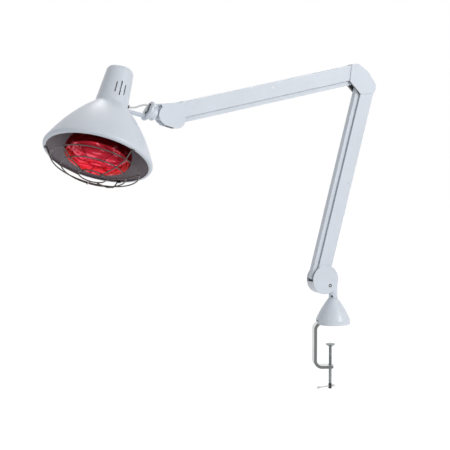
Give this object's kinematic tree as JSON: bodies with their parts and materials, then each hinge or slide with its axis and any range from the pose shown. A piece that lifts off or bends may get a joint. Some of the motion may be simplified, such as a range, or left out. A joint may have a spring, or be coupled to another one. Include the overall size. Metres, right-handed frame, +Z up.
{
  "type": "infrared heat therapy lamp",
  "caption": "Infrared heat therapy lamp on a sprung parallelogram swing arm with a table clamp: bell shade with a wire guard round a red reflector bulb.",
  "frame": {"origin": "where the swivel axis meets the underside of the clamp's upper jaw, which rests on the table top", "axes": "+Z up along the swivel axis, +X from the shade's side towards the elbow, arms swing in the XZ plane at rest, +Y away from the viewer"},
  "size_m": [0.6771, 0.1912, 0.6458],
  "materials": {
    "zinc_steel": "zinc plated, slightly dull",
    "dark_steel": "oiled steel",
    "spring_steel": "bare spring wire",
    "guard_steel": "plated wire, dull",
    "white_paint": "satin enamel, bluish white",
    "shade_paint": "satin enamel, bluish white",
    "black_plastic": "moulded nylon",
    "porcelain": "glazed ceramic lampholder",
    "red_glass": "deep red glass with an inner reflector",
    "cap_metal": "bare aluminium screw cap",
    "flex_sheath": "white sheathed flex"
  },
  "bodies": {
    "clamp": {"clamp_bracket": "zinc_steel", "thread_bush": "zinc_steel", "cone_cover": "white_paint", "post_socket": "zinc_steel", "socket_bush": "black_plastic", "socket_screws": "zinc_steel"},
    "pad": {"pressure_pad": "dark_steel"},
    "spindle": {"clamp_spindle": "dark_steel", "spindle_head": "black_plastic"},
    "tommy": {"tommy_bar": "zinc_steel", "tommy_knobs": "zinc_steel"},
    "shoulder": {"swivel_post": "zinc_steel", "shoulder_housing": "white_paint", "shoulder_cover": "white_paint", "shoulder_core": "black_plastic", "shoulder_arm_pin": "zinc_steel", "shoulder_link_pin": "zinc_steel", "shoulder_spring_stud": "zinc_steel", "shoulder_cover_screw": "zinc_steel", "lock_screw": "black_plastic"},
    "lower_arm": {"lower_arm_channel": "white_paint", "lower_spring": "spring_steel", "lower_spring_anchor": "zinc_steel"},
    "lower_bar": {"lower_arm_bar": "white_paint"},
    "elbow": {"elbow_core": "black_plastic", "elbow_cover_front": "white_paint", "elbow_cover_back": "white_paint", "elbow_arm_pins": "zinc_steel", "elbow_link_pins": "zinc_steel", "elbow_spring_stud": "zinc_steel", "elbow_screws": "zinc_steel"},
    "forearm": {"forearm_channel": "white_paint", "forearm_spring": "spring_steel", "forearm_spring_anchor": "zinc_steel"},
    "forearm_link": {"forearm_bar": "white_paint"},
    "wrist": {"wrist_core": "black_plastic", "wrist_cover_front": "white_paint", "wrist_cover_back": "white_paint", "wrist_arm_pin": "zinc_steel", "wrist_link_pin": "zinc_steel", "wrist_screws": "zinc_steel", "tilt_bolt": "zinc_steel", "tilt_nut": "zinc_steel"},
    "knuckle": {"knuckle": "white_paint", "friction_washers": "zinc_steel"},
    "head": {"head_stem": "white_paint", "turn_bolt": "zinc_steel", "turn_washer": "black_plastic", "stem_nut": "zinc_steel", "lamp_shade": "shade_paint", "holder_bracket": "zinc_steel", "lampholder": "porcelain", "holder_screws": "zinc_steel", "bulb_glass": "red_glass", "bulb_cap": "cap_metal", "bulb_guard": "guard_steel", "guard_clips": "zinc_steel", "head_flex": "flex_sheath", "flex_grommets": "black_plastic"}
  },
  "joints": [
    {"name": "pad_travel", "type": "slide", "parent": "clamp", "child": "pad", "axis": [0, 0, 1], "range_m": [-0.022, 0.029]},
    {"name": "spindle_turn", "type": "hinge", "parent": "pad", "child": "spindle", "pos_m": [-0.00453, 0.0016, 0], "axis": [0, 0, 1], "continuous": true},
    {"name": "tommy_slide", "type": "slide", "parent": "spindle", "child": "tommy", "axis": [0.9954, 0.0958, 0], "range_m": [-0.0018, 0.0226]},
    {"name": "arm_swivel", "type": "hinge", "parent": "clamp", "child": "shoulder", "pos_m": [0, 0, 0.05], "axis": [0, 0, 1], "range_deg": [-170, 170]},
    {"name": "lower_arm_tilt", "type": "hinge", "parent": "shoulder", "child": "lower_arm", "pos_m": [-0.0293, 0, 0.0975], "axis": [0, 1, 0], "range_deg": [-45, 25], "deforming": ["lower_spring"]},
    {"name": "lower_bar_tilt", "type": "hinge", "parent": "shoulder", "child": "lower_bar", "pos_m": [-0.0453, 0, 0.0975], "axis": [0, 1, 0], "range_deg": [-45, 25]},
    {"name": "elbow_level", "type": "hinge", "parent": "lower_arm", "child": "elbow", "pos_m": [0.07243, 0, 0.47193], "axis": [0, 1, 0], "range_deg": [-25, 45]},
    {"name": "forearm_tilt", "type": "hinge", "parent": "elbow", "child": "forearm", "pos_m": [0.04499, 0, 0.49936], "axis": [0, 1, 0], "range_deg": [-30, 42], "deforming": ["forearm_spring"]},
    {"name": "forearm_bar_tilt", "type": "hinge", "parent": "elbow", "child": "forearm_link", "pos_m": [0.04499, 0, 0.48336], "axis": [0, 1, 0], "range_deg": [-30, 42]},
    {"name": "wrist_level", "type": "hinge", "parent": "forearm", "child": "wrist", "pos_m": [-0.33481, 0, 0.42002], "axis": [0, 1, 0], "range_deg": [-42, 30]},
    {"name": "head_tilt", "type": "hinge", "parent": "wrist", "child": "knuckle", "pos_m": [-0.35941, 0, 0.41162], "axis": [0, 1, 0], "range_deg": [-75, 30]},
    {"name": "head_turn", "type": "hinge", "parent": "knuckle", "child": "head", "pos_m": [-0.39441, 0, 0.41922], "axis": [-0.8721, 0, 0.4894], "range_deg": [-120, 120]}
  ],
  "couplings": [
    {"joint": "lower_bar_tilt", "follows": "lower_arm_tilt", "ratio": 1},
    {"joint": "elbow_level", "follows": "lower_arm_tilt", "ratio": -1},
    {"joint": "forearm_bar_tilt", "follows": "forearm_tilt", "ratio": 1},
    {"joint": "wrist_level", "follows": "forearm_tilt", "ratio": -1}
  ]
}
